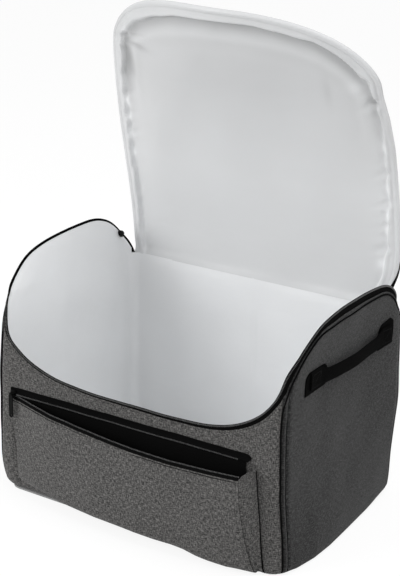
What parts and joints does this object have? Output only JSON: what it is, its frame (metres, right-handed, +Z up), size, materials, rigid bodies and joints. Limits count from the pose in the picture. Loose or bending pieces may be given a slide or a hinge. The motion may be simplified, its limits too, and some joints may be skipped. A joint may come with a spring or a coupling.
{
  "type": "slow cooker carrier bag",
  "caption": "Padded carrier bag with a curved lid that zips over high sides, a zipped front pocket, a stiff base and webbing side handles.",
  "frame": {"origin": "middle of the underside of the base", "axes": "+Z up, the front with the pocket faces -Y, the handles are on the -X and +X sides"},
  "size_m": [0.5044, 0.3595, 0.7233],
  "materials": {
    "shell": "grey heather woven polyester",
    "side": "grey heather woven polyester",
    "lining": "smooth silvery coated lining with a soft sheen",
    "foam": "quilt wadding, hidden",
    "board": "stiffening board, hidden",
    "tape": "black woven zipper tape",
    "coil": "black nylon zipper coil",
    "piping": "black woven binding",
    "webbing": "black ribbed webbing",
    "pocket_lining": "black plain woven lining",
    "slider": "black enamelled die casting"
  },
  "bodies": {
    "root": {"front_outer_panel": "shell", "back_outer_panel": "shell", "left_outer_panel": "side", "right_outer_panel": "side", "front_padding": "foam", "back_padding": "foam", "left_padding": "foam", "right_padding": "foam", "base_outer_panel": "side", "base_board": "board", "base_padding": "foam", "inner_lining": "lining", "opening_zipper_tape": "tape", "opening_zipper_coil": "coil", "left_piping": "piping", "right_piping": "piping", "lid_hinge_binding": "tape", "pocket_back_lining": "pocket_lining", "pocket_floor": "shell", "pocket_zipper_upper": "tape", "pocket_right_gusset": "shell", "pocket_left_gusset": "shell", "left_handle_patch_front": "webbing", "left_handle_patch_rear": "webbing", "right_handle_patch_front": "webbing", "right_handle_patch_rear": "webbing"},
    "lid_1": {"lid_cloth_1": "shell", "lid_padding_1": "lining", "lid_zipper_tape_left_1": "tape", "lid_zipper_tape_right_1": "tape"},
    "lid_2": {"lid_cloth_2": "shell", "lid_padding_2": "lining", "lid_zipper_tape_left_2": "tape", "lid_zipper_tape_right_2": "tape"},
    "lid_3": {"lid_cloth_3": "shell", "lid_padding_3": "lining", "lid_zipper_tape_left_3": "tape", "lid_zipper_tape_right_3": "tape"},
    "lid_4": {"lid_cloth_4": "shell", "lid_padding_4": "lining", "lid_zipper_tape_left_4": "tape", "lid_zipper_tape_right_4": "tape"},
    "lid_5": {"lid_cloth_5": "shell", "lid_padding_5": "lining", "lid_zipper_tape_left_5": "tape", "lid_zipper_tape_right_5": "tape"},
    "lid_6": {"lid_cloth_6": "shell", "lid_padding_6": "lining", "lid_zipper_tape_end": "tape"},
    "pocket_front": {"pocket_front": "shell", "pocket_front_lining": "pocket_lining", "pocket_zipper_lower": "tape"},
    "pocket_slider": {"pocket_slider": "slider"},
    "pocket_pull": {"pocket_pull": "slider"},
    "lid_slider": {"lid_slider": "slider"},
    "lid_pull": {"lid_pull": "slider"},
    "left_handle": {"left_handle_strap": "webbing"},
    "right_handle": {"right_handle_strap": "webbing"}
  },
  "joints": [
    {"name": "lid_hinge", "type": "hinge", "parent": "root", "child": "lid_1", "pos_m": [0, 0.1635, 0.288], "axis": [1, 0, 0], "range_deg": [-110, 20]},
    {"name": "lid_curl_2", "type": "hinge", "parent": "lid_1", "child": "lid_2", "pos_m": [0, 0.1622, 0.32512], "axis": [1, 0, 0], "range_deg": [-5.5, 34]},
    {"name": "lid_curl_3", "type": "hinge", "parent": "lid_2", "child": "lid_3", "pos_m": [0, 0.15268, 0.39292], "axis": [1, 0, 0], "range_deg": [-4, 17.6]},
    {"name": "lid_curl_4", "type": "hinge", "parent": "lid_3", "child": "lid_4", "pos_m": [0, 0.10171, 0.54522], "axis": [1, 0, 0], "range_deg": [-4, 20.6]},
    {"name": "lid_curl_5", "type": "hinge", "parent": "lid_4", "child": "lid_5", "pos_m": [0, 0.0738, 0.60246], "axis": [1, 0, 0], "range_deg": [-5.5, 28.6]},
    {"name": "lid_curl_6", "type": "hinge", "parent": "lid_5", "child": "lid_6", "pos_m": [0, 0.03824, 0.6653], "axis": [1, 0, 0], "range_deg": [-5.5, 27.6]},
    {"name": "pocket_front_hinge", "type": "hinge", "parent": "root", "child": "pocket_front", "pos_m": [0, -0.196, 0.0026], "axis": [1, 0, 0], "range_deg": [-11, 12]},
    {"name": "pocket_slider_run", "type": "slide", "parent": "root", "child": "pocket_slider", "axis": [1, 0, 0], "range_m": [0, 0.395]},
    {"name": "pocket_pull_swing", "type": "hinge", "parent": "pocket_slider", "child": "pocket_pull", "pos_m": [-0.211, -0.17505, 0.1599], "axis": [-1, 0, 0], "range_deg": [0, 150]},
    {"name": "lid_slider_run", "type": "hinge", "parent": "root", "child": "lid_slider", "pos_m": [-0.2348, 0.0785, 0.271], "axis": [1, 0, 0], "range_deg": [0, 45]},
    {"name": "lid_pull_swing", "type": "hinge", "parent": "lid_slider", "child": "lid_pull", "pos_m": [-0.24465, 0.13143, 0.32038], "axis": [0, 1, 0], "range_deg": [0, 150]},
    {"name": "left_handle_lift", "type": "hinge", "parent": "root", "child": "left_handle", "pos_m": [-0.2372, 0, 0.253], "axis": [0, -1, 0], "range_deg": [0, 75]},
    {"name": "right_handle_lift", "type": "hinge", "parent": "root", "child": "right_handle", "pos_m": [0.2372, 0, 0.253], "axis": [0, 1, 0], "range_deg": [0, 75]}
  ],
  "couplings": [
    {"joint": "lid_curl_3", "follows": "lid_curl_2", "ratio": 0.5147},
    {"joint": "lid_curl_4", "follows": "lid_curl_2", "ratio": 0.6029},
    {"joint": "lid_curl_5", "follows": "lid_curl_2", "ratio": 0.8382},
    {"joint": "lid_curl_6", "follows": "lid_curl_2", "ratio": 0.8088}
  ]
}
